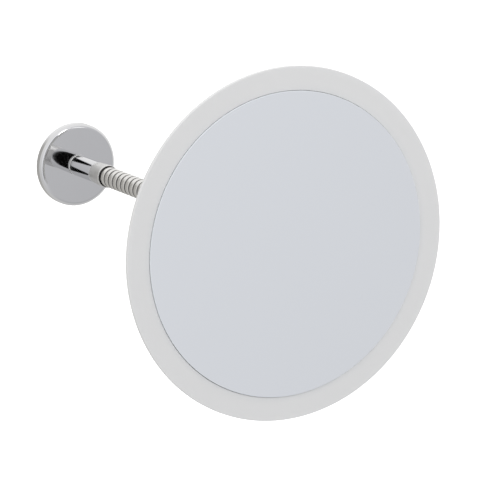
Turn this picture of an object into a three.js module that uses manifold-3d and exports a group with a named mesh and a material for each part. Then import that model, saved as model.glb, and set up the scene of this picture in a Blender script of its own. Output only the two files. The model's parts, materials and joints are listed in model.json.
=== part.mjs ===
// Wall-mounted shaving mirror on a gooseneck arm. Millimetres, +Z up.
// The origin is the centre of the wall bracket's back face. The wall fills +Y, the arm runs
// straight out along -Y, and the mirror faces -Y.
//
// Almost every piece is turned about the arm's axis, so a profile lists [radius, distance]
// pairs, where distance is how far in front of the wall the point lies.

import * as THREE from 'three';
import { mergeVertices } from 'three/addons/utils/BufferGeometryUtils.js';
import Module from 'manifold-3d';

const wasm = await Module();
wasm.setup();

// Driving dimensions.
const GAP = 0.3; // clearance between pieces that touch
const PLATE_RADIUS = 29.8;
const PLATE_DEPTH = 7.5;
const PLATE_WALL = 1.2;
const PLATE_ROUNDING = 3;
const PLATE_CROWN = 0.2; // how far the middle of the face stands out
const BRACKET_WEB = 1.5;
const BRACKET_DEPTH = 5;
const BRACKET_CLEARANCE = 0.6; // inside the plate's rim
const BRACKET_CHAMFER = 0.8;
const POCKET_CLEARANCE = 1.5; // around the nut
const WALL_SCREW_OFFSET = 18;
const WALL_SCREW_RADIUS = 2.3;
const WALL_SCREW_HEAD = 4.6;
const COVER_SCREW_DISTANCE = 2.5;
const COVER_SCREW_RADIUS = 1.5;
const COVER_SCREW_LENGTH = 5;
const THREAD_RADIUS = 3.7; // M8 spigot of the arm post
const THREAD_CHAMFER = 0.6;
const NUT_RADIUS = 7.5; // across the corners
const WASHER_THICKNESS = 0.7;
const SEAT_RADIUS = 7.6;
const SEAT_THICKNESS = 0.6;
const POST_RADIUS = 7.5;
const POST_END = 38.5;
const FERRULE_NARROW = 7.5;
const FERRULE_WIDE = 8.1;
const FERRULE_EDGE = 0.3;
const BASE_FERRULE_END = 54.3;
const MOUTH_RADIUS = 7.5;
const MOUTH_DEPTH = 2;
const SPIGOT_RADIUS = 5; // plain spigots inside both ferrules
const SPIGOT_LENGTH = 6.5;
const SPIGOT_CHAMFER = 0.5;
const SPIGOT_GROOVE = 3.6; // radius at the bottom of the grub screw's groove
const SPIGOT_GROOVE_WIDTH = 3.2;
const SPIGOT_GROOVE_MIDDLE = 3.2; // from the shoulder
const FERRULE_SCREW_RADIUS = 1.5;
const NECK_RADIUS = 7.15;
const NECK_GROOVE = 6.3; // radius at the bottom of the grooves
const NECK_BORE = 3.8;
const NECK_TAIL = 6; // plain end inside each ferrule
const RIDGE_PITCH = 6.2;
const RIDGE_CREST = 2.1; // half the width of a ridge's top
const RIDGES_PER_SECTION = 2;
const SECTIONS = 17;
const JOINT_CLEARANCE = 1.7; // between neighbouring sections, for 12 degrees of bend
const HUB_RADIUS = 12;
const HUB_LENGTH = 13;
const HUB_NECK_LENGTH = 4;
const HUB_FILLET = 4;
const HUB_SCREW_RADIUS = 2.2;
const HUB_SCREW_HEAD = 4.4;
const HUB_SCREW_SOCKET = 1.4;
const BACK_PLATE_RADIUS = 30;
const BACK_PLATE_THICKNESS = 2.8;
const BACK_PLATE_CHAMFER = 0.8;
const BACK_PAD_THICKNESS = 0.6;
const BACK_PAD_RADIUS = 28.5;
const BACK_PAD_HOLE = 8.4;
const DISC_RADIUS = 115;
const DISC_THICKNESS = 5;
const DISC_CHAMFER = 3;
const DISC_EDGE = 0.4;
const RECESS_DEPTH = 3;
const RECESS_CLEARANCE = 0.5; // around the glass
const GLASS_RADIUS = 99.2;
const GLASS_THICKNESS = 2.8;
const GLASS_EDGE = 0.3;
const GLASS_PROUD = 0.7; // how far the glass stands out of its recess
const ADHESIVE_RADIUS = 87;

// Derived places along the arm, all as distances from the wall.
const SECTION_LENGTH = RIDGE_PITCH * RIDGES_PER_SECTION;
const NECK_START = BASE_FERRULE_END + 2 * GAP;
const NECK_END = NECK_START + SECTIONS * SECTION_LENGTH;
const HEAD_FERRULE_START = NECK_END + 2 * GAP;
const FERRULE_LENGTH = BASE_FERRULE_END - POST_END - GAP;
const HUB_START = HEAD_FERRULE_START + FERRULE_LENGTH + GAP;
const HUB_END = HUB_START + HUB_LENGTH;
const BACK_PLATE_BACK = HUB_END + GAP;
const BACK_PLATE_FRONT = BACK_PLATE_BACK + BACK_PLATE_THICKNESS;
const DISC_BACK = BACK_PLATE_FRONT + BACK_PAD_THICKNESS + 2 * GAP;
const DISC_FRONT = DISC_BACK + DISC_THICKNESS;
const RECESS_FLOOR = DISC_FRONT - RECESS_DEPTH;
const GLASS_FRONT = DISC_FRONT + GLASS_PROUD;
const GLASS_BACK = GLASS_FRONT - GLASS_THICKNESS;

// How many flat sides stand in for a circle.
const SIDES = { large: 72, plate: 48, sleeve: 24, neck: 16, screw: 12 };

const finish = (color, roughness, metalness) =>
  new THREE.MeshStandardMaterial({ color, roughness, metalness });

const MATERIALS = {
  chrome: () => finish(0xd8d9dc, 0.06, 1),
  satinMetal: () => finish(0xc9c7c3, 0.35, 1),
  steel: () => finish(0xa9abae, 0.4, 1),
  zinc: () => finish(0xb3b5b8, 0.5, 1),
  frosted: () => finish(0xdcdcda, 0.6, 0),
  nylon: () => finish(0xeceae6, 0.5, 0),
  foam: () => finish(0xe4e4e0, 0.8, 0),
  mirror: () => finish(0xd9dde2, 0.02, 1),
};

const object = new THREE.Group();
object.name = 'gooseneck_shaving_mirror';

function add(name, geometry, material) {
  const mesh = new THREE.Mesh(geometry, MATERIALS[material]());
  mesh.name = name;
  object.add(mesh);
}

// A solid turned about the arm's axis. A profile that touches the axis starts and ends on it;
// any other profile is a closed loop, so its first point is repeated at the end.
function turned(profile, sides) {
  const points = profile.map(([radius, distance]) => new THREE.Vector2(radius, -distance));
  if (THREE.ShapeUtils.area(points) < 0) points.reverse();
  if (points[0].x > 0) points.push(points[0].clone());
  return new THREE.LatheGeometry(points, sides);
}

function ring(innerRadius, outerRadius, from, to, sides) {
  return turned([
    [innerRadius, from],
    [outerRadius, from],
    [outerRadius, to],
    [innerRadius, to],
  ], sides);
}

// Part of a circle as profile points, from one angle to another in degrees.
function arc(centreRadius, centreDistance, radius, fromAngle, toAngle, steps) {
  return Array.from({ length: steps + 1 }, (_, i) => {
    const angle = THREE.MathUtils.degToRad(fromAngle + ((toAngle - fromAngle) * i) / steps);
    return [centreRadius + radius * Math.cos(angle), centreDistance + radius * Math.sin(angle)];
  });
}

function toSolid(geometry) {
  const bare = geometry.clone();
  bare.deleteAttribute('normal');
  bare.deleteAttribute('uv');
  const merged = mergeVertices(bare, 1e-4);
  return new wasm.Manifold(new wasm.Mesh({
    numProp: 3,
    vertProperties: new Float32Array(merged.attributes.position.array),
    triVerts: new Uint32Array(merged.index.array),
  }));
}

function cut(geometry, ...tools) {
  const solid = tools.reduce((left, tool) => left.subtract(toSolid(tool)), toSolid(geometry));
  const mesh = solid.getMesh();
  const result = new THREE.BufferGeometry();
  result.setAttribute('position', new THREE.BufferAttribute(mesh.vertProperties, 3));
  result.setIndex(new THREE.BufferAttribute(mesh.triVerts, 1));
  return result;
}

// A cylinder along Z, centred on the arm's axis in X, between two heights.
function uprightCylinder(radius, bottom, top, distance, sides = SIDES.screw) {
  const geometry = new THREE.CylinderGeometry(radius, radius, top - bottom, sides);
  geometry.rotateX(Math.PI / 2);
  geometry.translate(0, -distance, (top + bottom) / 2);
  return geometry;
}

// A grub screw driven up from below, with a hexagon socket in its lower end.
function grubScrew(radius, bottom, top, distance) {
  const socketDepth = (top - bottom) * 0.45;
  const body = uprightCylinder(radius, bottom, top, distance);
  const socket = uprightCylinder(radius * 0.5, bottom - 1, bottom + socketDepth, distance, 6);
  return cut(body, socket);
}

// Wall plate: a slightly crowned pressed cup over a cast bracket, locked by a grub screw.
function plateCover() {
  const inner = PLATE_RADIUS - PLATE_WALL;
  const corner = PLATE_RADIUS - PLATE_ROUNDING;
  const cornerDistance = PLATE_DEPTH - PLATE_CROWN - PLATE_ROUNDING;
  const hole = THREAD_RADIUS + GAP;
  const crown = (radius) => PLATE_CROWN * (radius / corner) ** 2;
  const face = [corner * 0.75, corner * 0.5, hole].map((r) => [r, PLATE_DEPTH - crown(r)]);
  const underFace = face.map(([radius, distance]) => [radius, distance - PLATE_WALL]);
  const cup = turned([
    [inner, GAP],
    [PLATE_RADIUS, GAP],
    ...arc(corner, cornerDistance, PLATE_ROUNDING, 0, 90, 5),
    ...face,
    ...underFace.reverse(),
    ...arc(corner, cornerDistance, PLATE_ROUNDING - PLATE_WALL, 90, 0, 3),
  ], SIDES.plate);
  return cut(cup, uprightCylinder(
    COVER_SCREW_RADIUS + GAP, -PLATE_RADIUS - 1, -inner + 1, COVER_SCREW_DISTANCE));
}

function wallBracket() {
  const outer = PLATE_RADIUS - PLATE_WALL - BRACKET_CLEARANCE;
  const pocket = NUT_RADIUS + POCKET_CLEARANCE;
  const disc = turned([
    [0, 0],
    [outer, 0],
    [outer, BRACKET_DEPTH - BRACKET_CHAMFER],
    [outer - BRACKET_CHAMFER, BRACKET_DEPTH],
    [pocket, BRACKET_DEPTH],
    [pocket, BRACKET_WEB],
    [0, BRACKET_WEB],
  ], SIDES.plate);
  const coverScrewHole = uprightCylinder(
    COVER_SCREW_RADIUS + GAP, -outer - 1,
    -PLATE_RADIUS + COVER_SCREW_LENGTH + 2 * GAP, COVER_SCREW_DISTANCE);
  const headDepth = WALL_SCREW_HEAD - WALL_SCREW_RADIUS;
  const countersink = new THREE.CylinderGeometry(
    WALL_SCREW_RADIUS, WALL_SCREW_HEAD, headDepth, SIDES.sleeve);
  const screwHole = new THREE.CylinderGeometry(
    WALL_SCREW_RADIUS, WALL_SCREW_RADIUS, 3 * BRACKET_DEPTH, SIDES.sleeve);
  const screwHoles = [-WALL_SCREW_OFFSET, WALL_SCREW_OFFSET].flatMap((x) => [
    countersink.clone().translate(x, headDepth / 2 - BRACKET_DEPTH, 0),
    screwHole.clone().translate(x, -BRACKET_DEPTH / 2, 0),
  ]);
  return cut(disc, coverScrewHole, ...screwHoles);
}

add('plate_cover', plateCover(), 'chrome');
add('wall_bracket', wallBracket(), 'zinc');

const coverScrewBottom = -PLATE_RADIUS + GAP;
add('cover_grub_screw', grubScrew(
  COVER_SCREW_RADIUS, coverScrewBottom, coverScrewBottom + COVER_SCREW_LENGTH,
  COVER_SCREW_DISTANCE), 'steel');

// Arm post: its threaded spigot goes through the cover and is clamped by a washer and a nut.
const spigotStart = BRACKET_WEB + 0.4;
const washerFront = PLATE_DEPTH - PLATE_WALL - GAP;
const washerBack = washerFront - WASHER_THICKNESS;
const nutFront = washerBack - GAP;
const seatBack = PLATE_DEPTH + GAP;
const seatFront = seatBack + SEAT_THICKNESS;
const postStart = seatFront + GAP;

function hexNut() {
  const outline = new THREE.Shape();
  for (let corner = 0; corner < 6; corner += 1) {
    const angle = (corner * Math.PI) / 3;
    const point = [NUT_RADIUS * Math.cos(angle), NUT_RADIUS * Math.sin(angle)];
    if (corner === 0) outline.moveTo(...point);
    else outline.lineTo(...point);
  }
  outline.closePath();
  outline.holes.push(new THREE.Path().absarc(0, 0, THREAD_RADIUS + GAP, 0, 2 * Math.PI, true));
  const geometry = new THREE.ExtrudeGeometry(outline, {
    depth: nutFront - spigotStart,
    bevelEnabled: false,
    curveSegments: SIDES.screw,
  });
  geometry.rotateX(Math.PI / 2);
  return geometry.translate(0, -spigotStart, 0);
}

// A plain spigot with a turned groove for the tip of a grub screw, as profile points.
function spigotProfile(shoulder, tip) {
  const step = Math.sign(tip - shoulder);
  const grooveStart = shoulder + (SPIGOT_GROOVE_MIDDLE - SPIGOT_GROOVE_WIDTH / 2) * step;
  const grooveEnd = grooveStart + SPIGOT_GROOVE_WIDTH * step;
  return [
    [SPIGOT_RADIUS, shoulder],
    [SPIGOT_RADIUS, grooveStart],
    [SPIGOT_GROOVE, grooveStart],
    [SPIGOT_GROOVE, grooveEnd],
    [SPIGOT_RADIUS, grooveEnd],
    [SPIGOT_RADIUS, tip - SPIGOT_CHAMFER * step],
    [SPIGOT_RADIUS - SPIGOT_CHAMFER, tip],
    [0, tip],
  ];
}

const clampRing = (radius, from, to) => ring(THREAD_RADIUS + GAP, radius, from, to, SIDES.sleeve);
add('post_nut', hexNut(), 'steel');
add('lock_washer', clampRing(NUT_RADIUS, washerBack, washerFront), 'steel');
add('seat_washer', clampRing(SEAT_RADIUS, seatBack, seatFront), 'nylon');
add('arm_post', turned([
  [0, spigotStart],
  [THREAD_RADIUS - THREAD_CHAMFER, spigotStart],
  [THREAD_RADIUS, spigotStart + THREAD_CHAMFER],
  [THREAD_RADIUS, postStart],
  [POST_RADIUS, postStart],
  [POST_RADIUS, POST_END],
  ...spigotProfile(POST_END, POST_END + SPIGOT_LENGTH),
], SIDES.sleeve), 'chrome');

// Ferrules: flared sleeves that join the gooseneck to the post and to the hub. "narrow" is the
// end over the spigot and "wide" is the mouth that takes the plain end of the gooseneck.
function ferruleScrewDistance(narrow, step) {
  return narrow + (SPIGOT_GROOVE_MIDDLE - GAP) * step;
}

function ferrule(narrow, wide) {
  const step = Math.sign(wide - narrow);
  const spigotSeat = narrow + (SPIGOT_LENGTH + 1) * step;
  const tailSeat = wide - (NECK_TAIL + GAP) * step;
  const sleeve = turned([
    [SPIGOT_RADIUS + GAP, narrow],
    [FERRULE_NARROW - FERRULE_EDGE, narrow],
    [FERRULE_NARROW, narrow + FERRULE_EDGE * step],
    [FERRULE_WIDE, wide - FERRULE_EDGE * step],
    [FERRULE_WIDE - FERRULE_EDGE, wide],
    [MOUTH_RADIUS, wide],
    [NECK_GROOVE + GAP, wide - MOUTH_DEPTH * step],
    [NECK_GROOVE + GAP, tailSeat],
    [NECK_BORE, tailSeat],
    [NECK_BORE, spigotSeat],
    [SPIGOT_RADIUS + GAP, spigotSeat],
  ], SIDES.sleeve);
  return cut(sleeve, uprightCylinder(
    FERRULE_SCREW_RADIUS + GAP, -FERRULE_WIDE - 1, -SPIGOT_RADIUS + 1,
    ferruleScrewDistance(narrow, step)));
}

function ferruleScrew(narrow, step) {
  return grubScrew(
    FERRULE_SCREW_RADIUS, -FERRULE_NARROW + GAP, -SPIGOT_GROOVE - GAP,
    ferruleScrewDistance(narrow, step));
}

const baseFerruleStart = POST_END + GAP;
const headFerruleEnd = HUB_START - GAP;
add('base_ferrule', ferrule(baseFerruleStart, BASE_FERRULE_END), 'satinMetal');
add('base_ferrule_screw', ferruleScrew(baseFerruleStart, 1), 'steel');
add('head_ferrule', ferrule(headFerruleEnd, HEAD_FERRULE_START), 'satinMetal');
add('head_ferrule_screw', ferruleScrew(headFerruleEnd, -1), 'steel');

// Gooseneck: a ridged flexible tube, cut into short rigid sections that hinge on each other.
// The first and last sections carry the plain ends that sit inside the ferrules.
function neckSection(index) {
  const start = NECK_START + index * SECTION_LENGTH;
  const end = start + SECTION_LENGTH;
  const first = index === 0;
  const last = index === SECTIONS - 1;
  const back = first ? BASE_FERRULE_END - NECK_TAIL : start + JOINT_CLEARANCE / 2;
  const front = last ? HEAD_FERRULE_START + NECK_TAIL : end - JOINT_CLEARANCE / 2;
  const ridges = Array.from({ length: RIDGES_PER_SECTION }, (_, ridge) => {
    const middle = start + (ridge + 0.5) * RIDGE_PITCH;
    return [
      [NECK_GROOVE, middle - RIDGE_PITCH / 2 + GAP],
      [NECK_RADIUS, middle - RIDGE_CREST],
      [NECK_RADIUS, middle + RIDGE_CREST],
      [NECK_GROOVE, middle + RIDGE_PITCH / 2 - GAP],
    ];
  }).flat();
  if (!first) ridges.shift();
  if (!last) ridges.pop();
  return turned([
    [NECK_BORE, back],
    [NECK_GROOVE, back],
    ...ridges,
    [NECK_GROOVE, front],
    [NECK_BORE, front],
  ], SIDES.neck);
}

for (let index = 0; index < SECTIONS; index += 1) {
  const number = String(index + 1).padStart(2, '0');
  add(`gooseneck_${number}`, neckSection(index), 'satinMetal');
}

// Head: a hub screwed to a round back plate, which is bonded to the frosted disc.
const hubBoreStart = HUB_START + 2;
const hubNeckEnd = HUB_START + HUB_NECK_LENGTH;
const hubScrewTop = BACK_PLATE_FRONT - GAP;
const hubScrewHeadHeight = HUB_SCREW_HEAD - HUB_SCREW_RADIUS;

add('hub', turned([
  ...spigotProfile(HUB_START, HUB_START - SPIGOT_LENGTH).reverse(),
  [FERRULE_NARROW, HUB_START],
  [FERRULE_NARROW, hubNeckEnd],
  ...arc(FERRULE_NARROW + HUB_FILLET, hubNeckEnd, HUB_FILLET, 180, 110, 4),
  [HUB_RADIUS, hubNeckEnd + HUB_FILLET],
  [HUB_RADIUS, HUB_END],
  [HUB_SCREW_RADIUS + GAP, HUB_END],
  [HUB_SCREW_RADIUS + GAP, hubBoreStart],
  [0, hubBoreStart],
], SIDES.sleeve), 'chrome');

add('hub_screw', turned([
  [0, hubBoreStart + 1],
  [HUB_SCREW_RADIUS, hubBoreStart + 1],
  [HUB_SCREW_RADIUS, hubScrewTop - hubScrewHeadHeight],
  [HUB_SCREW_HEAD, hubScrewTop],
  [HUB_SCREW_SOCKET, hubScrewTop],
  [HUB_SCREW_SOCKET, hubScrewTop - HUB_SCREW_SOCKET],
  [0, hubScrewTop - HUB_SCREW_SOCKET],
], SIDES.sleeve), 'steel');

add('back_plate', turned([
  [HUB_SCREW_RADIUS + 2 * GAP, BACK_PLATE_BACK],
  [BACK_PLATE_RADIUS - BACK_PLATE_CHAMFER, BACK_PLATE_BACK],
  [BACK_PLATE_RADIUS, BACK_PLATE_BACK + BACK_PLATE_CHAMFER],
  [BACK_PLATE_RADIUS, BACK_PLATE_FRONT],
  [HUB_SCREW_HEAD + 2 * GAP, BACK_PLATE_FRONT],
], SIDES.plate), 'chrome');

add('back_pad', ring(
  BACK_PAD_HOLE, BACK_PAD_RADIUS, BACK_PLATE_FRONT + GAP, DISC_BACK - GAP, SIDES.plate), 'foam');

add('frosted_disc', turned([
  [0, DISC_BACK],
  [DISC_RADIUS - DISC_CHAMFER, DISC_BACK],
  [DISC_RADIUS, DISC_BACK + DISC_CHAMFER],
  [DISC_RADIUS, DISC_FRONT - DISC_EDGE],
  [DISC_RADIUS - DISC_EDGE, DISC_FRONT],
  [GLASS_RADIUS + RECESS_CLEARANCE, DISC_FRONT],
  [GLASS_RADIUS + RECESS_CLEARANCE, RECESS_FLOOR],
  [0, RECESS_FLOOR],
], SIDES.large), 'frosted');

add('mirror_adhesive', turned([
  [0, RECESS_FLOOR + GAP],
  [ADHESIVE_RADIUS, RECESS_FLOOR + GAP],
  [ADHESIVE_RADIUS, GLASS_BACK - GAP],
  [0, GLASS_BACK - GAP],
], SIDES.plate), 'foam');

add('mirror_glass', turned([
  [0, GLASS_BACK],
  [GLASS_RADIUS - GLASS_EDGE, GLASS_BACK],
  [GLASS_RADIUS, GLASS_BACK + GLASS_EDGE],
  [GLASS_RADIUS, GLASS_FRONT - GLASS_EDGE],
  [GLASS_RADIUS - GLASS_EDGE, GLASS_FRONT],
  [0, GLASS_FRONT],
], SIDES.large), 'mirror');

export default object;
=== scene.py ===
"""Gooseneck shaving mirror: the finished look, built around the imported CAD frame. Metres, +Z up.

The wall lies behind +Y, the arm runs along -Y and the mirror faces -Y. Most pieces are turned about the
arm's axis. Their profiles list (radius, distance, fillet) corners, where distance is how far in front of
the wall a corner lies.
"""
import json
import math

import bmesh
import bpy
from mathutils import Matrix, Vector

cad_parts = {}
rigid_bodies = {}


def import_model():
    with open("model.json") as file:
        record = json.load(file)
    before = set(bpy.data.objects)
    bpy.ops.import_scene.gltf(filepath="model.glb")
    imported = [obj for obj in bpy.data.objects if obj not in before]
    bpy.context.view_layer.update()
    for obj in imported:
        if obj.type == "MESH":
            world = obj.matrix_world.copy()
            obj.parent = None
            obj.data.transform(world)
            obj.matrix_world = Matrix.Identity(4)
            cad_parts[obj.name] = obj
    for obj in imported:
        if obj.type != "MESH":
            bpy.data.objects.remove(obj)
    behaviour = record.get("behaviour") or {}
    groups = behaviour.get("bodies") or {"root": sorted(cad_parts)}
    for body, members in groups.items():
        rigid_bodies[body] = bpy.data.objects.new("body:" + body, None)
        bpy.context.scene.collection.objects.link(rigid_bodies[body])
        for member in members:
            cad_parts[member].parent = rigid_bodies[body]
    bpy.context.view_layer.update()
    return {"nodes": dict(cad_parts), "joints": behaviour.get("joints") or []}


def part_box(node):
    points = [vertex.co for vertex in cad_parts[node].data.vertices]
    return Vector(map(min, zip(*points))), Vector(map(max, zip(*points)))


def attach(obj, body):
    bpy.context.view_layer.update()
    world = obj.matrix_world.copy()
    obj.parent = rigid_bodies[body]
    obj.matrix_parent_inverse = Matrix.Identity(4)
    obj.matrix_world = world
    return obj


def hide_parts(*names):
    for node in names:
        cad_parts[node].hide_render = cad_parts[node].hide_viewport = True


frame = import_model()

MM = 0.001


# Places taken from the frame.

def span(node):
    """(distance of the node's wall side, distance of its mirror side, outer radius)."""
    low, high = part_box(node)
    return -high.y, -low.y, high.x


PLATE_BACK, PLATE_FRONT, PLATE_RADIUS = span("plate_cover")
SEAT_BACK, SEAT_FRONT, SEAT_RADIUS = span("seat_washer")
POST_BACK, POST_TIP, POST_RADIUS = span("arm_post")
BASE_FERRULE_BACK, BASE_FERRULE_FRONT, FERRULE_RADIUS = span("base_ferrule")
HEAD_FERRULE_BACK, HEAD_FERRULE_FRONT, _ = span("head_ferrule")
HUB_BACK, HUB_FRONT, HUB_RADIUS = span("hub")
BACK_PLATE_BACK, BACK_PLATE_FRONT, BACK_PLATE_RADIUS = span("back_plate")
DISC_BACK, DISC_FRONT, DISC_RADIUS = span("frosted_disc")
GLASS_BACK, GLASS_FRONT, GLASS_RADIUS = span("mirror_glass")
NECK_RADIUS = span("gooseneck_02")[2]
HINGES = [-joint["pos_m"][1] for joint in frame["joints"]]
SECTION_LENGTH = HINGES[1] - HINGES[0]
NECK_START = HINGES[0] - SECTION_LENGTH

# Sizes inside the pieces, the same as in the CAD model.
CLEARANCE = 0.3 * MM
PLATE_WALL = 1.2 * MM
PLATE_ROUNDING = 3 * MM
PLATE_CROWN = 0.2 * MM
SPIGOT_RADIUS = 5 * MM
THREAD_RADIUS = 3.7 * MM
FERRULE_NARROW = 7.5 * MM
FERRULE_BORE = 5.3 * MM
FERRULE_MOUTH = 7.5 * MM
FERRULE_MOUTH_DEPTH = 2 * MM
TAIL_RADIUS = 6.3 * MM
TAIL_LENGTH = 6 * MM


# Camera: it looks down at the mirror from the front left, from far away through a long lens.

VIEW_AZIMUTH = math.radians(-29.6)
VIEW_ELEVATION = math.radians(12.85)
VIEW_DISTANCE = 2.01
VIEW_LENS_MM = 227.9
AIM_LEFT = 0.0241
AIM_DOWN = 0.0031


def direction(azimuth, elevation):
    """Unit vector from the mirror out towards a place around it."""
    return Vector((
        math.sin(azimuth) * math.cos(elevation),
        -math.cos(azimuth) * math.cos(elevation),
        math.sin(elevation),
    ))


def place_camera():
    back = direction(VIEW_AZIMUTH, VIEW_ELEVATION)
    right = Vector((math.cos(VIEW_AZIMUTH), math.sin(VIEW_AZIMUTH), 0))
    up = back.cross(right)
    aim = Vector((0, -DISC_FRONT, 0)) - right * AIM_LEFT - up * AIM_DOWN
    data = bpy.data.cameras.new("camera")
    data.lens = VIEW_LENS_MM
    data.sensor_width = 36
    data.clip_end = 100
    camera = bpy.data.objects.new("camera", data)
    bpy.context.scene.collection.objects.link(camera)
    camera.matrix_world = Matrix.Translation(aim + back * VIEW_DISTANCE) @ Matrix((
        (right.x, up.x, back.x, 0),
        (right.y, up.y, back.y, 0),
        (right.z, up.z, back.z, 0),
        (0, 0, 0, 1),
    ))
    bpy.context.scene.camera = camera


place_camera()


# Materials.

def new_material(name):
    material = bpy.data.materials.new(name)
    material.use_nodes = True
    nodes = material.node_tree.nodes
    shader = nodes["Principled BSDF"]
    return material, nodes, material.node_tree.links, shader


def noise(nodes, links, scale, detail, stretch=(1, 1, 1)):
    """A noise texture fixed to the object, stretched along its axes."""
    place = nodes.new("ShaderNodeTexCoord")
    mapping = nodes.new("ShaderNodeMapping")
    mapping.inputs["Scale"].default_value = stretch
    texture = nodes.new("ShaderNodeTexNoise")
    texture.inputs["Scale"].default_value = scale
    texture.inputs["Detail"].default_value = detail
    links.new(place.outputs["Object"], mapping.inputs["Vector"])
    links.new(mapping.outputs["Vector"], texture.inputs["Vector"])
    return texture.outputs["Fac"]


def spread(nodes, links, factor, low, high):
    """Maps the middle of a noise's range to low..high."""
    node = nodes.new("ShaderNodeMapRange")
    node.inputs["From Min"].default_value = 0.3
    node.inputs["From Max"].default_value = 0.7
    node.inputs["To Min"].default_value = low
    node.inputs["To Max"].default_value = high
    links.new(factor, node.inputs["Value"])
    return node.outputs["Result"]


def tint(nodes, links, factor, colour, change):
    """A colour that noise makes a little darker and lighter."""
    node = nodes.new("ShaderNodeMix")
    node.data_type = "RGBA"
    node.inputs["A"].default_value = (*[c * (1 - change) for c in colour], 1)
    node.inputs["B"].default_value = (*[min(1, c * (1 + change)) for c in colour], 1)
    links.new(factor, node.inputs["Factor"])
    return node.outputs["Result"]


def bump(nodes, links, shader, height, strength, distance):
    node = nodes.new("ShaderNodeBump")
    node.inputs["Strength"].default_value = strength
    node.inputs["Distance"].default_value = distance
    links.new(height, node.inputs["Height"])
    links.new(node.outputs["Normal"], shader.inputs["Normal"])


def metal(name, colour, roughness, change=0.03, scale=90, stretch=(1, 1, 1), relief=0.05, grain=900):
    """A metal whose polish and colour vary softly, under a fine grain."""
    material, nodes, links, shader = new_material(name)
    shader.inputs["Metallic"].default_value = 1
    soft = noise(nodes, links, scale, 3)
    links.new(tint(nodes, links, soft, colour, change), shader.inputs["Base Color"])
    links.new(spread(nodes, links, soft, *roughness), shader.inputs["Roughness"])
    fine = noise(nodes, links, grain, 2, stretch)
    bump(nodes, links, shader, fine, relief, 0.00002)
    return material


def plastic(name, colour, roughness, change=0.02, scale=120, relief=0.1, grain=2500, subsurface=0.0):
    """A moulded plastic with a faint cloudiness and a fine surface grain."""
    material, nodes, links, shader = new_material(name)
    shader.inputs["Subsurface Weight"].default_value = subsurface
    shader.inputs["Subsurface Radius"].default_value = (1, 1, 1)
    shader.inputs["Subsurface Scale"].default_value = 0.003
    shader.inputs["IOR"].default_value = 1.49
    soft = noise(nodes, links, scale, 3)
    links.new(tint(nodes, links, soft, colour, change), shader.inputs["Base Color"])
    links.new(spread(nodes, links, soft, *roughness), shader.inputs["Roughness"])
    fine = noise(nodes, links, grain, 2)
    bump(nodes, links, shader, fine, relief, 0.00003)
    return material


def frosted_acrylic():
    """Satin acrylic with painted shade: the ring is painted a soft bluish darker tone within 5 mm of the
    glass edge.
    """
    material = plastic("frosted_acrylic", (0.725, 0.725, 0.715), (0.5, 0.6), 0.008, 25, 0.12, 2500, 0.25)
    nodes, links = material.node_tree.nodes, material.node_tree.links
    shader = nodes["Principled BSDF"]
    place = nodes.new("ShaderNodeTexCoord")
    flatten = nodes.new("ShaderNodeVectorMath")
    flatten.operation = "MULTIPLY"
    flatten.inputs[1].default_value = (1, 0, 1)
    radius = nodes.new("ShaderNodeVectorMath")
    radius.operation = "LENGTH"
    # Painted shade: near the glass edge the ring's colour is mixed towards a bluish grey, standing in for
    # the shade beside the glass.
    edge = nodes.new("ShaderNodeMapRange")
    edge.interpolation_type = "SMOOTHSTEP"
    edge.inputs["From Min"].default_value = GLASS_RADIUS
    edge.inputs["From Max"].default_value = GLASS_RADIUS + 5 * MM
    edge.inputs["To Min"].default_value = 0.1
    edge.inputs["To Max"].default_value = 0
    shade = nodes.new("ShaderNodeMix")
    shade.data_type = "RGBA"
    shade.inputs["B"].default_value = (0.5, 0.54, 0.58, 1)
    links.new(place.outputs["Object"], flatten.inputs[0])
    links.new(flatten.outputs["Vector"], radius.inputs[0])
    links.new(radius.outputs["Value"], edge.inputs["Value"])
    links.new(edge.outputs["Result"], shade.inputs["Factor"])
    links.new(shader.inputs["Base Color"].links[0].from_socket, shade.inputs["A"])
    links.new(shade.outputs["Result"], shader.inputs["Base Color"])
    return material


def ground_glass():
    """The ground edge of the mirror's float glass."""
    return plastic("glass_edge", (0.74, 0.77, 0.79), (0.3, 0.45), 0.1, 400, 0.2, 3000)


CHROME = metal("chrome", (0.615, 0.615, 0.62), (0.03, 0.07), 0.015, 60, (1, 1, 1), 0.02, 1500)
SATIN_METAL = metal(
    "satin_metal", (0.66, 0.655, 0.645), (0.32, 0.42), 0.03, 150, (0.05, 1, 0.05), 0.35, 4000)
# Painted shade: a darker, rougher metal for the gooseneck's groove floors, groove walls and hinge balls,
# standing in for the shade in the narrow grooves.
GROOVE_SHADE_METAL = metal("gooseneck_groove_shade", (0.42, 0.41, 0.40), (0.45, 0.6), 0.1, 300, (1, 1, 1), 0.3, 2500)
NECK_METAL = metal("gooseneck_metal", (0.66, 0.65, 0.63), (0.16, 0.28), 0.05, 300, (1, 1, 1), 0.12, 2500)
ZINC = metal("cast_zinc", (0.45, 0.46, 0.48), (0.4, 0.6), 0.08, 120, (1, 1, 1), 0.6, 1200)
STEEL = metal("zinc_plated_steel", (0.52, 0.53, 0.54), (0.25, 0.4), 0.05, 300, (1, 1, 1), 0.2, 1500)
NYLON = plastic("nylon", (0.82, 0.82, 0.80), (0.4, 0.5), 0.02, 300, 0.1, 2500, 0.2)
FOAM_TAPE = plastic("foam_tape", (0.75, 0.75, 0.72), (0.7, 0.85), 0.05, 800, 0.5, 1500)
FROSTED = frosted_acrylic()
SILVERED = metal("silvered_glass", (0.93, 0.955, 0.98), (0.008, 0.014), 0.004, 12, (1, 1, 1), 0.0, 900)
GLASS_EDGE = ground_glass()


# Mesh making.

FILLET_STEPS = 6
SUPPORT = 0.12 * MM


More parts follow.
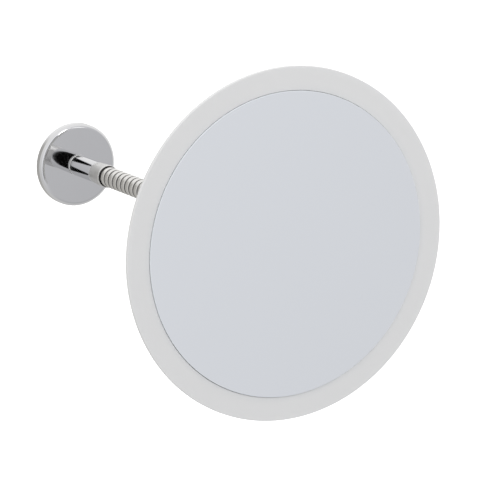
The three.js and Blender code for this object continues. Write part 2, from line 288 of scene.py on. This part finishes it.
def rounded(corners, closed):
    """Profile points from (radius, distance, fillet) corners, with an arc at each filleted corner."""
    points = []
    count = len(corners)
    for i, (radius, distance, fillet) in enumerate(corners):
        here = Vector((radius, distance))
        if fillet <= 0 or (not closed and i in (0, count - 1)):
            points.append(here)
            continue
        before = Vector(corners[i - 1][:2]) - here
        after = Vector(corners[(i + 1) % count][:2]) - here
        half = before.angle(after) / 2
        tangent = min(fillet / math.tan(half), 0.48 * before.length, 0.48 * after.length)
        fillet = tangent * math.tan(half)
        centre = here + (before.normalized() + after.normalized()).normalized() * (fillet / math.sin(half))
        first = here + before.normalized() * tangent - centre
        last = here + after.normalized() * tangent - centre
        turn = first.angle_signed(last)
        if before.length > 2 * (tangent + SUPPORT):
            points.append(centre + first + before.normalized() * SUPPORT)
        for step in range(FILLET_STEPS + 1):
            arm = first.copy()
            arm.rotate(Matrix.Rotation(-turn * step / FILLET_STEPS, 2))
            points.append(centre + arm)
        if after.length > 2 * (tangent + SUPPORT):
            points.append(centre + last + after.normalized() * SUPPORT)
    return points


def lathe(bm, points, sides, closed):
    """Turns profile points about the arm's axis."""
    rings = []
    for point in points:
        if point.x < 1e-7:
            rings.append([bm.verts.new((0, -point.y, 0))] * sides)
            continue
        rings.append([
            bm.verts.new((
                point.x * math.cos(2 * math.pi * i / sides),
                -point.y,
                point.x * math.sin(2 * math.pi * i / sides),
            ))
            for i in range(sides)
        ])
    pairs = list(zip(rings, rings[1:]))
    if closed:
        pairs.append((rings[-1], rings[0]))
    for low, high in pairs:
        for i in range(sides):
            j = (i + 1) % sides
            corner = list(dict.fromkeys((low[i], low[j], high[j], high[i])))
            if len(corner) > 2:
                bm.faces.new(corner)


def finish_piece(bm, name, materials, body, nodes, sharp=35):
    bmesh.ops.recalc_face_normals(bm, faces=bm.faces)
    mesh = bpy.data.meshes.new(name)
    bm.to_mesh(mesh)
    bm.free()
    piece = bpy.data.objects.new(name, mesh)
    bpy.context.scene.collection.objects.link(piece)
    for material in materials:
        mesh.materials.append(material)
    mesh.shade_smooth()
    mesh.set_sharp_from_angle(angle=math.radians(sharp))
    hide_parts(*nodes)
    if body:
        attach(piece, body)
    return piece


def turned(name, corners, materials, body, nodes, sides=128, paint=None):
    """A turned piece. paint says which material a face takes from its centre."""
    closed = corners[0][0] > 0
    bm = bmesh.new()
    lathe(bm, rounded(corners, closed), sides, closed)
    if paint:
        for face in bm.faces:
            face.material_index = paint(face.calc_center_median())
    return finish_piece(bm, name, materials, body, nodes)


def drill(piece, radius, bottom, top, distance, sides=32):
    """Bores a hole up through the underside of a piece."""
    bm = bmesh.new()
    bmesh.ops.create_cone(
        bm, cap_ends=True, segments=sides, radius1=radius, radius2=radius, depth=top - bottom,
        matrix=Matrix.Translation((0, -distance, (top + bottom) / 2)))
    mesh = bpy.data.meshes.new("drill")
    bm.to_mesh(mesh)
    bm.free()
    cutter = bpy.data.objects.new("drill", mesh)
    bpy.context.scene.collection.objects.link(cutter)
    cut = piece.modifiers.new("hole", "BOOLEAN")
    cut.operation = "DIFFERENCE"
    cut.solver = "EXACT"
    cut.object = cutter
    apply_modifiers(piece)
    bpy.data.objects.remove(cutter)
    piece.data.set_sharp_from_angle(angle=math.radians(35))


def apply_modifiers(piece):
    graph = bpy.context.evaluated_depsgraph_get()
    final = bpy.data.meshes.new_from_object(piece.evaluated_get(graph))
    piece.modifiers.clear()
    piece.data = final


# Wall plate and post.

FACE_STEPS = 32
FACE_EDGE = 0.78
FACE_SPAN = 0.62


def wall_plate():
    hole = THREAD_RADIUS + CLEARANCE
    face = []
    for step in range(FACE_STEPS):
        radius = PLATE_RADIUS * (FACE_EDGE - FACE_SPAN * step / (FACE_STEPS - 1))
        face.append((radius, PLATE_FRONT - PLATE_CROWN * (radius / PLATE_RADIUS) ** 2, 0))
    cover = turned("wall_plate", [
        (PLATE_RADIUS - PLATE_WALL, PLATE_BACK, 0.2 * MM),
        (PLATE_RADIUS, PLATE_BACK, 0.2 * MM),
        (PLATE_RADIUS, PLATE_FRONT - PLATE_CROWN, PLATE_ROUNDING),
        *face,
        (hole, PLATE_FRONT, 0),
        (hole, PLATE_FRONT - PLATE_WALL, 0.2 * MM),
        (PLATE_RADIUS - PLATE_WALL, PLATE_FRONT - PLATE_WALL - PLATE_CROWN, PLATE_ROUNDING - PLATE_WALL),
    ], [CHROME], "wall_base", ["plate_cover"], 192)
    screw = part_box("cover_grub_screw")
    middle = -(screw[0].y + screw[1].y) / 2
    drill(cover, screw[1].x + 0.3 * MM, -PLATE_RADIUS - MM, -PLATE_RADIUS + 3 * MM, middle)


def post():
    shoulder = SEAT_FRONT + CLEARANCE
    end = BASE_FERRULE_BACK - CLEARANCE
    turned("post", [
        (0, POST_BACK, 0),
        (THREAD_RADIUS, POST_BACK, 0.4 * MM),
        (THREAD_RADIUS, shoulder, 0),
        (POST_RADIUS, shoulder, 0.25 * MM),
        (POST_RADIUS, end, 0.25 * MM),
        (SPIGOT_RADIUS, end, 0),
        (SPIGOT_RADIUS, POST_TIP, 0.4 * MM),
        (0, POST_TIP, 0),
    ], [CHROME], "wall_base", ["arm_post"])
    turned("seat_ring", [
        (THREAD_RADIUS + CLEARANCE, SEAT_BACK, 0.1 * MM),
        (SEAT_RADIUS, SEAT_BACK, 0.15 * MM),
        (SEAT_RADIUS, SEAT_FRONT, 0.25 * MM),
        (THREAD_RADIUS + CLEARANCE, SEAT_FRONT, 0.1 * MM),
    ], [NYLON], "wall_base", ["seat_washer"])


# Ferrules.

def ferrule(name, narrow, wide, body, screw_node):
    """A flared sleeve from its narrow end, over a spigot, to its wide mouth around the gooseneck."""
    step = math.copysign(1, wide - narrow)
    throat = TAIL_RADIUS + CLEARANCE
    shelf = wide - (TAIL_LENGTH + CLEARANCE) * step
    sleeve = turned(name, [
        (FERRULE_BORE, narrow, 0.15 * MM),
        (FERRULE_NARROW, narrow, 0.25 * MM),
        (FERRULE_RADIUS, wide - 0.8 * MM * step, 1 * MM),
        (FERRULE_RADIUS - 0.1 * MM, wide, 0.2 * MM),
        (FERRULE_MOUTH, wide, 0.12 * MM),
        (throat, wide - FERRULE_MOUTH_DEPTH * step, 0),
        (throat, shelf, 0),
        (FERRULE_BORE, shelf, 0),
    ], [SATIN_METAL], body, [name])
    sleeve.name = name + "_sleeve"
    low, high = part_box(screw_node)
    drill(sleeve, high.x + 0.2 * MM, -FERRULE_RADIUS - MM, -SPIGOT_RADIUS + MM, -(low.y + high.y) / 2)


# Gooseneck: rigid ridged sections. Each rides on its own body and holds the next by a ball end at the
# hinge, which closes the gap when the neck bends.

RIDGE_PITCH = SECTION_LENGTH / 2
RIDGES = 2
GROOVE_WIDTH = 1.54 * MM
CREST_DROP = 0.25 * MM
CREST_STEPS = 12
NECK_BORE = 3.8 * MM
BALL_RADIUS = 6.2 * MM
BALL_REACH = 3.3 * MM
SOCKET_RADIUS = 6.32 * MM
BALL_STEPS = 10


def ball_profile(centre, radius, first, last):
    """Corners along a ball around a hinge, between two distances from it."""
    return [
        (math.sqrt(radius ** 2 - offset ** 2), centre + offset, 0)
        for offset in (first + (last - first) * step / BALL_STEPS for step in range(BALL_STEPS + 1))
    ]


def ridge_profile(middle):
    """Corners over one softly crowned ridge, between the floors of its grooves."""
    half = (RIDGE_PITCH - GROOVE_WIDTH) / 2
    crest = []
    for step in range(CREST_STEPS + 1):
        share = 2 * step / CREST_STEPS - 1
        crest.append((NECK_RADIUS - CREST_DROP * abs(share) ** 2.5, middle + half * share, 0))
    return [(TAIL_RADIUS, middle - half, 0), *crest, (TAIL_RADIUS, middle + half, 0)]


def neck_section(index, body):
    start = NECK_START + index * SECTION_LENGTH
    end = start + SECTION_LENGTH
    first = index == 0
    last = index == len(HINGES)
    if first:
        back = BASE_FERRULE_FRONT - TAIL_LENGTH
        corners = [(NECK_BORE, back, 0), (TAIL_RADIUS, back, 0)]
    else:
        corners = [(NECK_BORE, start - BALL_REACH, 0)]
        corners += ball_profile(start, BALL_RADIUS, -BALL_REACH, GROOVE_WIDTH / 2)
    ridges = []
    for ridge in range(RIDGES):
        ridges += ridge_profile(start + (ridge + 0.5) * RIDGE_PITCH)
    corners += ridges if first else ridges[1:]
    if last:
        front = HEAD_FERRULE_BACK + TAIL_LENGTH
        corners += [(TAIL_RADIUS, front, 0), (NECK_BORE, front, 0)]
    else:
        corners.pop()
        depth = math.sqrt(SOCKET_RADIUS ** 2 - NECK_BORE ** 2)
        corners += ball_profile(end, SOCKET_RADIUS, -GROOVE_WIDTH / 2, -depth)
    # Faces below the crests take the darker metal, which paints shade into the grooves and over the hinge
    # balls.
    floor_radius = NECK_RADIUS - CREST_DROP - 0.02 * MM

    def paint(centre):
        return int(math.hypot(centre.x, centre.z) < floor_radius)

    turned(
        f"neck_winding_{index + 1:02d}", corners, [NECK_METAL, GROOVE_SHADE_METAL], body,
        [f"gooseneck_{index + 1:02d}"], 72, paint)


# Head.

def hub():
    shoulder = HEAD_FERRULE_FRONT + CLEARANCE
    bore = 2.5 * MM
    turned("mirror_hub", [
        (0, HUB_BACK, 0),
        (SPIGOT_RADIUS, HUB_BACK, 0.4 * MM),
        (SPIGOT_RADIUS, shoulder, 0),
        (FERRULE_NARROW, shoulder, 0.35 * MM),
        (FERRULE_NARROW, shoulder + 7.5 * MM, 3.5 * MM),
        (HUB_RADIUS, shoulder + 8 * MM, 0.6 * MM),
        (HUB_RADIUS, HUB_FRONT, 0.4 * MM),
        (bore, HUB_FRONT, 0.2 * MM),
        (bore, shoulder + 2 * MM, 0),
        (0, shoulder + 2 * MM, 0),
    ], [CHROME], "mirror_head", ["hub"])


def back_plate():
    turned("mirror_back_plate", [
        (2.8 * MM, BACK_PLATE_BACK, 0.2 * MM),
        (BACK_PLATE_RADIUS, BACK_PLATE_BACK, 1.2 * MM),
        (BACK_PLATE_RADIUS, BACK_PLATE_FRONT, 0.3 * MM),
        (5 * MM, BACK_PLATE_FRONT, 0.2 * MM),
    ], [CHROME], "mirror_head", ["back_plate"], 160)


def disc():
    floor = DISC_FRONT - 3 * MM
    recess = GLASS_RADIUS + 0.25 * MM
    chamfer = 3 * MM
    turned("frosted_rim_disc", [
        (0, DISC_BACK, 0),
        (DISC_RADIUS - chamfer, DISC_BACK, 1.5 * MM),
        (DISC_RADIUS, DISC_BACK + chamfer, 0.8 * MM),
        (DISC_RADIUS, DISC_FRONT, 0.6 * MM),
        (recess, DISC_FRONT, 0.15 * MM),
        (recess, floor, 0.3 * MM),
        (0, floor, 0),
    ], [FROSTED], "mirror_head", ["frosted_disc"], 256)


def glass():
    arris = 0.3 * MM

    def paint(centre):
        radius = math.hypot(centre.x, centre.z)
        return int(-centre.y < GLASS_FRONT - 0.02 * MM or radius > GLASS_RADIUS - arris)

    turned("mirror_pane", [
        (0, GLASS_BACK, 0),
        (GLASS_RADIUS, GLASS_BACK, arris),
        (GLASS_RADIUS, GLASS_FRONT, arris),
        (0, GLASS_FRONT, 0),
    ], [SILVERED, GLASS_EDGE], "mirror_head", ["mirror_glass"], 256, paint)


# CAD nodes that stay as they are, with a finish of their own.

def dress(material, *nodes):
    for node in nodes:
        slots = frame["nodes"][node].data.materials
        slots.clear()
        slots.append(material)


dress(ZINC, "wall_bracket")
dress(STEEL, "cover_grub_screw", "post_nut", "lock_washer")
dress(STEEL, "base_ferrule_screw", "head_ferrule_screw", "hub_screw")
dress(FOAM_TAPE, "back_pad", "mirror_adhesive")
wall_plate()
post()
ferrule("base_ferrule", BASE_FERRULE_BACK, BASE_FERRULE_FRONT, "wall_base", "base_ferrule_screw")
ferrule("head_ferrule", HEAD_FERRULE_FRONT, HEAD_FERRULE_BACK, "mirror_head", "head_ferrule_screw")
neck_section(0, frame["joints"][0]["parent"])
for number, joint in enumerate(frame["joints"], 1):
    neck_section(number, joint["child"])
hub()
back_plate()
disc()
glass()


# Stage: a pale floor, a soft pale surround, one softbox and a few small reflector cards.

FLOOR_HEIGHT = -0.45
FRONT_COLOUR = (0.692, 0.695, 0.717)
FRONT_SLOPE = (-0.45, 0, 0.45)
FRONT_LEVEL = 1.315
FRONT_DIP = 0.6
FRONT_RISE = 0.4
SIDE_LOW_COLOUR = (0.8, 0.8, 0.8)
SIDE_HIGH_COLOUR = (1.2, 1.2, 1.2)
WALL_LOW_COLOUR = (0.56, 0.55, 0.53)
WALL_HIGH_COLOUR = (1.2, 1.2, 1.2)
WALL_SLOPE = (0.42, 0, 0.9)
SOFTBOX_DIRECTION = (0.04, -0.79, 0.61)
SOFTBOX_SIZE = (0.4, 0.3)
SOFTBOX_POWER = 2.0
STAND_OFF = 1.6
CARD_DISTANCE = PLATE_FRONT + 200 * MM
CARD_DIVIDE = 119
CARD_STEPS = 24
BRIGHT_CARD_GLOW = 1.8


def floor():
    bpy.ops.mesh.primitive_plane_add(size=30, location=(0, 0, FLOOR_HEIGHT))
    plane = bpy.context.object
    plane.name = "floor"
    material, nodes, links, shader = new_material("pale_floor")
    soft = noise(nodes, links, 3, 2)
    links.new(tint(nodes, links, soft, (0.9, 0.9, 0.9), 0.01), shader.inputs["Base Color"])
    shader.inputs["Roughness"].default_value = 0.9
    shader.inputs["Specular IOR Level"].default_value = 0.1
    shader.inputs["Emission Color"].default_value = (1, 1, 1, 1)
    shader.inputs["Emission Strength"].default_value = 0.35
    plane.data.materials.append(material)
    plane.visible_glossy = False
    plane.visible_diffuse = False


def ramp(nodes, links, value, low, high, soft=True):
    """Turns a value into a share from 0 at low to 1 at high."""
    node = nodes.new("ShaderNodeMapRange")
    node.interpolation_type = "SMOOTHSTEP" if soft else "LINEAR"
    node.inputs["From Min"].default_value = low
    node.inputs["From Max"].default_value = high
    links.new(value, node.inputs["Value"])
    return node.outputs["Result"]


def mixed(nodes, links, share, first, second):
    """Mixes two colours, each given as a colour or as a node's output."""
    node = nodes.new("ShaderNodeMix")
    node.data_type = "RGBA"
    node.clamp_result = False
    for socket, colour in (("A", first), ("B", second)):
        if isinstance(colour, tuple):
            node.inputs[socket].default_value = (*colour, 1)
        else:
            links.new(colour, node.inputs[socket])
    links.new(share, node.inputs["Factor"])
    return node.outputs["Result"]


def slope(nodes, links, place, along):
    """How far a direction points along another."""
    node = nodes.new("ShaderNodeVectorMath")
    node.operation = "DOT_PRODUCT"
    node.inputs[1].default_value = along
    links.new(place, node.inputs[0])
    return node.outputs["Value"]


def surround():
    """Cool in front of the mirror, bright at the sides, and brighter above than below everywhere."""
    world = bpy.data.worlds.new("surround")
    bpy.context.scene.world = world
    world.use_nodes = True
    nodes, links = world.node_tree.nodes, world.node_tree.links
    place = nodes.new("ShaderNodeTexCoord").outputs["Generated"]
    level = ramp(nodes, links, slope(nodes, links, place, FRONT_SLOPE), -FRONT_DIP, FRONT_RISE, False)
    dim = tuple(channel * (FRONT_LEVEL - FRONT_DIP) for channel in FRONT_COLOUR)
    full = tuple(channel * (FRONT_LEVEL + FRONT_RISE) for channel in FRONT_COLOUR)
    front = mixed(nodes, links, level, dim, full)
    height = ramp(nodes, links, slope(nodes, links, place, WALL_SLOPE), 0.05, 0.45)
    wall = mixed(nodes, links, height, WALL_LOW_COLOUR, WALL_HIGH_COLOUR)
    depth = slope(nodes, links, place, (0, 1, 0))
    upward = ramp(nodes, links, slope(nodes, links, place, (0.3, 0, 1)), -0.7, 0.9, False)
    side = mixed(nodes, links, upward, SIDE_LOW_COLOUR, SIDE_HIGH_COLOUR)
    sides = mixed(nodes, links, ramp(nodes, links, depth, -0.72, -0.3), front, side)
    whole = mixed(nodes, links, ramp(nodes, links, depth, 0.6, 0.78), sides, wall)
    path = nodes.new("ShaderNodeLightPath")
    shown = mixed(nodes, links, path.outputs["Is Camera Ray"], whole, (1, 1, 1))
    links.new(shown, nodes["Background"].inputs["Color"])


def softbox():
    data = bpy.data.lights.new("key_softbox", "AREA")
    data.shape = "RECTANGLE"
    data.size, data.size_y = SOFTBOX_SIZE
    data.energy = SOFTBOX_POWER
    light = bpy.data.objects.new("key_softbox", data)
    back = Vector(SOFTBOX_DIRECTION).normalized()
    turn = back.to_track_quat("Z", "Y").to_matrix().to_4x4()
    light.matrix_world = Matrix.Translation(back * STAND_OFF) @ turn
    light.visible_camera = False
    bpy.context.scene.collection.objects.link(light)


def card(name, outline, glow):
    """A card that shows only in polished metal. Its outline lists (radius, angle) around the arm's axis,
    in millimetres and in degrees from +X towards +Z."""
    bm = bmesh.new()
    bm.faces.new([
        bm.verts.new((
            radius * MM * math.cos(math.radians(angle)),
            -CARD_DISTANCE,
            radius * MM * math.sin(math.radians(angle)),
        ))
        for radius, angle in outline
    ])
    mesh = bpy.data.meshes.new(name)
    bm.to_mesh(mesh)
    bm.free()
    piece = bpy.data.objects.new(name, mesh)
    bpy.context.scene.collection.objects.link(piece)
    material, nodes, links, shader = new_material(name)
    soft = noise(nodes, links, 5, 2)
    links.new(tint(nodes, links, soft, (0.004, 0.004, 0.004), 0.2), shader.inputs["Base Color"])
    shader.inputs["Roughness"].default_value = 1
    shader.inputs["Specular IOR Level"].default_value = 0
    shader.inputs["Emission Color"].default_value = (1, 1, 1, 1)
    shader.inputs["Emission Strength"].default_value = glow
    mesh.materials.append(material)
    piece.visible_camera = False
    piece.visible_diffuse = False
    piece.visible_shadow = False
    piece.visible_transmission = False


def sweep(radius, start, end):
    """Outline points along an arc."""
    return [(radius, start + (end - start) * step / CARD_STEPS) for step in range(CARD_STEPS + 1)]


def cards():
    """The post reflects what lies past the divide, and its image in the plate what lies within it."""
    inner = [
        (CARD_DIVIDE - 25 * math.sin(math.pi * step / CARD_STEPS) ** 0.2, 242 - 202 * step / CARD_STEPS)
        for step in range(1, CARD_STEPS)
    ]
    upper_tip = [(136, 123), (145, 111), (136, 100)]
    lower_tip = [(136, 226), (146, 212), (136, 200)]
    card("image_card", sweep(CARD_DIVIDE, 40, 242) + inner, 0)
    card("upper_dark_card", sweep(CARD_DIVIDE, 88, 138) + upper_tip, 0)
    card("lower_dark_card", sweep(CARD_DIVIDE, 188, 240) + lower_tip, 0)
    card("bright_card", sweep(CARD_DIVIDE, 28, 86) + sweep(148, 98, 24), BRIGHT_CARD_GLOW)


floor()
surround()
softbox()
cards()

scene = bpy.context.scene
scene.view_settings.view_transform = "Standard"
